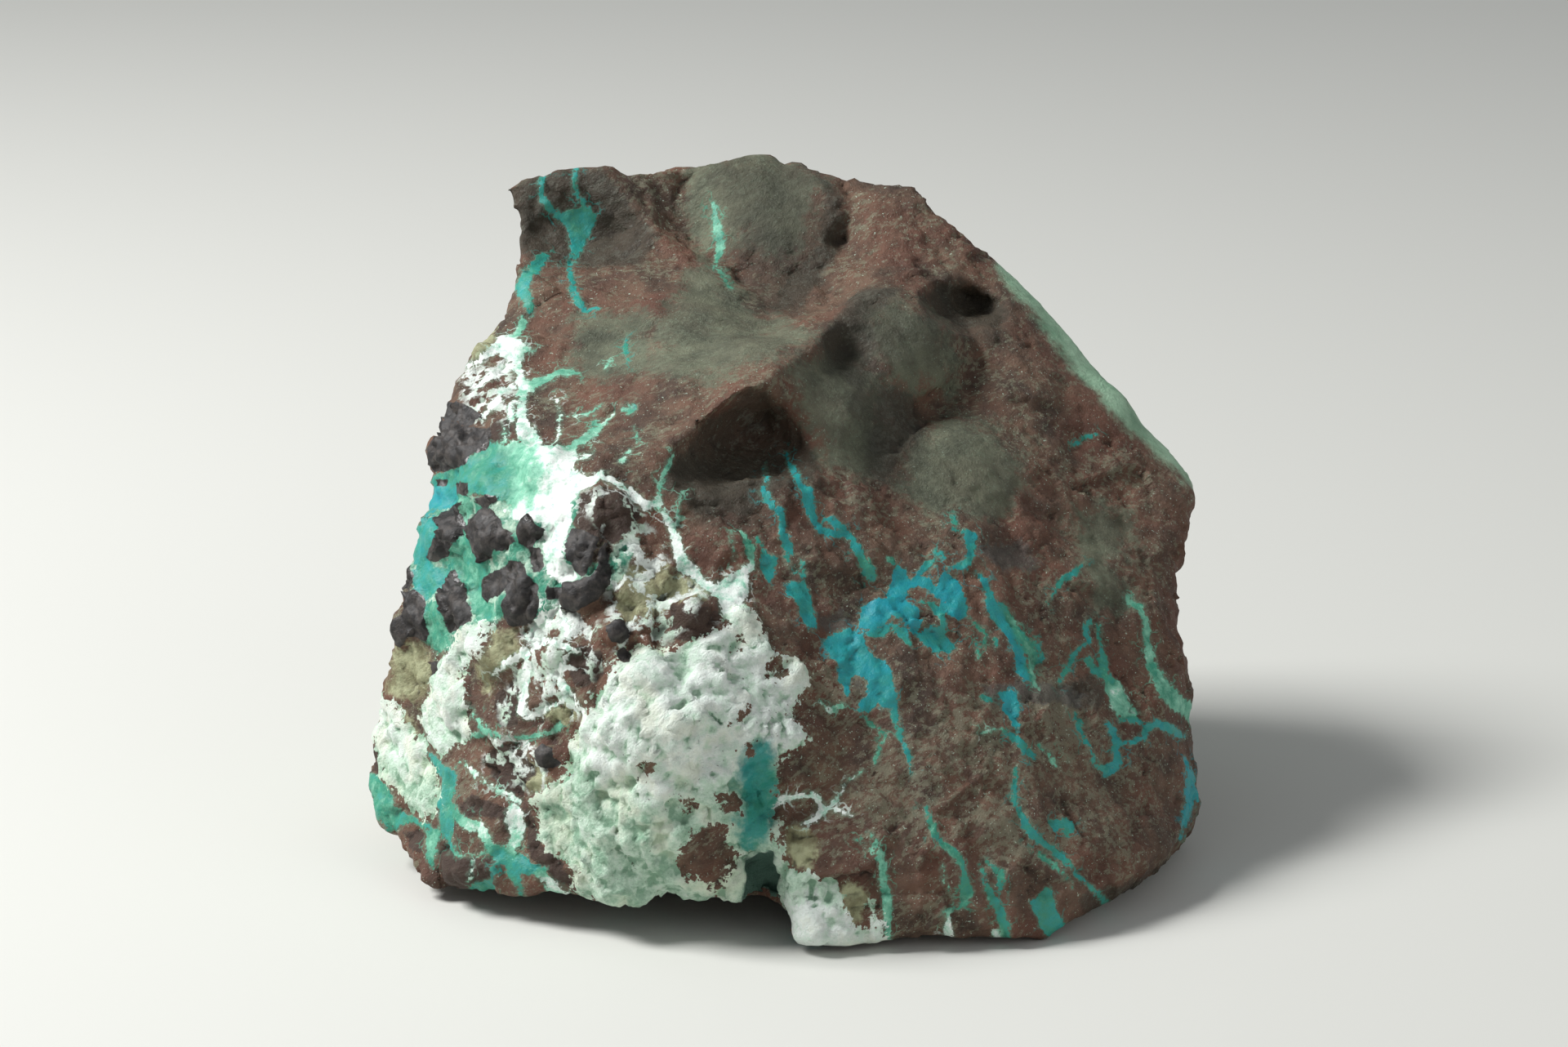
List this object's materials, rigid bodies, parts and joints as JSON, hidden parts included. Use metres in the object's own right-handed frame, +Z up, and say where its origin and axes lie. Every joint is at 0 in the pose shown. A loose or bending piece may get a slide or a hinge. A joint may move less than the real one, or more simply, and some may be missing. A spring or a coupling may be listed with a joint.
{
  "type": "raw chrysocolla specimen",
  "caption": "Hand-sized lump of rough chrysocolla in red-brown rock, standing on its broken base.",
  "frame": {"origin": "middle of the stone's footprint box, at the height of the flat base", "axes": "+Z up from the base, -Y towards the viewer of the veined front face, +X to that viewer's right"},
  "size_m": [0.0512, 0.0462, 0.0385],
  "materials": {
    "rough_chrysocolla": "dull red-brown rock with turquoise veins, a powdery pale green crust and dark glossy lumps"
  },
  "bodies": {
    "root": {"raw_chrysocolla": "rough_chrysocolla"}
  },
  "joints": []
}
